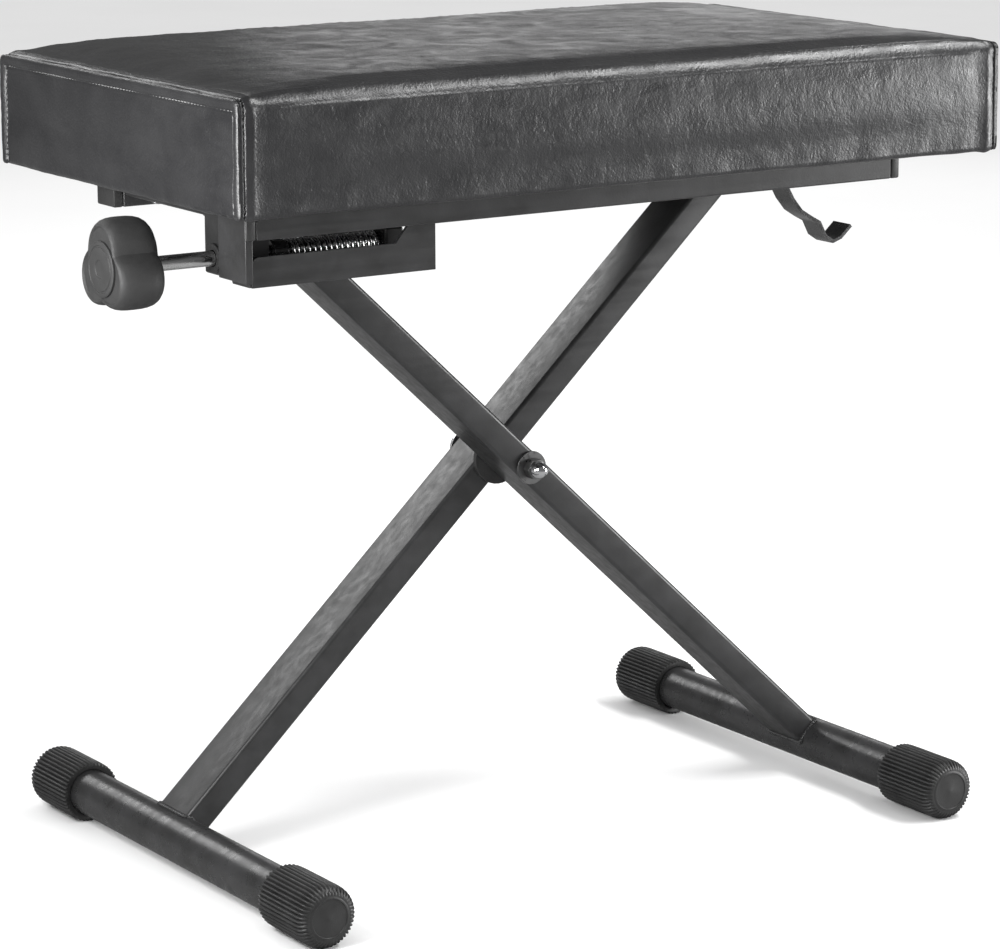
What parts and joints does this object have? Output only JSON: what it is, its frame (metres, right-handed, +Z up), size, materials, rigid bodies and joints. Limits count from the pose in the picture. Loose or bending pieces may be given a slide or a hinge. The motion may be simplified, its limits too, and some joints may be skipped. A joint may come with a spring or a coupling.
{
  "type": "piano bench",
  "caption": "Padded keyboard bench on a folding X-frame of steel tube, with a spindle knob that sets the height, a fold latch lever and ribbed rubber feet.",
  "frame": {"origin": "on the floor, under the middle of the whole bench's bounding box, knob included", "axes": "+X runs along the seat's length away from the height knob, +Y from front to back, +Z up"},
  "size_m": [0.6526, 0.393, 0.5443],
  "materials": {
    "leatherette": "black grained leatherette with a soft satin sheen",
    "foam": "matte open-cell foam",
    "plywood": "raw plywood",
    "lining": "matte black non-woven lining",
    "black_paint": "semi-gloss black powder coat on steel tube and sheet",
    "black_plastic": "fine satin moulded plastic",
    "knob_plastic": "matte dark grey moulded plastic with fine spark texture",
    "black_rubber": "matte black ribbed rubber",
    "zinc": "bright zinc plate",
    "chrome": "polished chrome",
    "spring_steel": "bright drawn wire"
  },
  "bodies": {
    "seat": {"back_rail": "black_paint", "back_rail_cap_left": "black_plastic", "back_rail_cap_right": "black_plastic", "cross_bar_left": "black_paint", "cross_bar_left_screw_1": "zinc", "cross_bar_left_screw_2": "zinc", "cross_bar_right": "black_paint", "cross_bar_right_screw_1": "zinc", "cross_bar_right_screw_2": "zinc", "foam_pad": "foam", "front_rail": "black_paint", "front_rail_cap_left": "black_plastic", "front_rail_cap_right": "black_plastic", "guide_channel": "black_paint", "latch_bracket": "black_paint", "lever_pin": "zinc", "seat_board": "plywood", "seat_cover": "leatherette", "spindle_bracket": "black_paint", "spindle_bush": "black_plastic", "underside_lining": "lining"},
    "lever": {"latch_lever": "black_paint"},
    "spindle_assembly": {"spindle": "zinc", "knob": "knob_plastic", "knob_disc": "knob_plastic", "spindle_collar": "black_paint", "spindle_thrust_washer": "zinc"},
    "carriage": {"spindle_nut": "zinc", "slide_carriage": "black_paint", "spindle_spring": "spring_steel"},
    "axle_a": {"leg_a_axle": "zinc"},
    "leg_a_frame": {"leg_a": "black_paint", "leg_a_end_plug": "black_plastic", "foot_bar_right": "black_paint", "foot_bar_right_cap_front": "black_rubber", "foot_bar_right_cap_back": "black_rubber"},
    "pivot": {"pivot_bolt": "zinc", "pivot_nut": "zinc", "pivot_acorn_cap": "chrome", "pivot_spacer": "black_plastic", "pivot_washer_front": "zinc", "pivot_washer_back": "zinc"},
    "leg_b_frame": {"leg_b": "black_paint", "leg_b_end_plug": "black_plastic", "leg_b_axle": "zinc", "foot_bar_left": "black_paint", "foot_bar_left_cap_front": "black_rubber", "foot_bar_left_cap_back": "black_rubber"}
  },
  "joints": [
    {"name": "height_slide", "type": "slide", "parent": "seat", "child": "carriage", "axis": [1, 0, 0], "range_m": [-0.034, 0.004], "deforming": ["spindle_spring"]},
    {"name": "spindle_turn", "type": "hinge", "parent": "seat", "child": "spindle_assembly", "pos_m": [-0.2917, -0.079, 0.4331], "axis": [1, 0, 0], "range_deg": [-360.5, 3060.5]},
    {"name": "axle_a_turn", "type": "hinge", "parent": "carriage", "child": "axle_a", "pos_m": [-0.1704, -0.023, 0.4361], "axis": [0, -1, 0], "range_deg": [-0.7, 5.8]},
    {"name": "fold", "type": "hinge", "parent": "axle_a", "child": "leg_a_frame", "pos_m": [-0.1704, -0.023, 0.4361], "axis": [0, -1, 0], "range_deg": [0, 29.5]},
    {"name": "pivot_turn", "type": "hinge", "parent": "leg_a_frame", "child": "pivot", "pos_m": [0.0193, -0.001, 0.25859], "axis": [0, -1, 0], "range_deg": [-11.6, 1.4]},
    {"name": "leg_b_fold", "type": "hinge", "parent": "pivot", "child": "leg_b_frame", "pos_m": [0.0193, -0.001, 0.25859], "axis": [0, -1, 0], "range_deg": [-59.1, 0.1]},
    {"name": "lever_lift", "type": "hinge", "parent": "seat", "child": "lever", "pos_m": [0.1763, -0.02, 0.44535], "axis": [0, -1, 0], "range_deg": [0, 5], "stiffness_Nm_per_rad": 0.6, "springref_deg": -17.19}
  ],
  "couplings": [
    {"joint": "spindle_turn", "follows": "height_slide", "rad_per_m": -1570.8},
    {"joint": "axle_a_turn", "follows": "height_slide", "rad_per_m": -2.95},
    {"joint": "pivot_turn", "follows": "height_slide", "rad_per_m": 5.9},
    {"joint": "leg_b_fold", "follows": "fold", "ratio": -2}
  ]
}
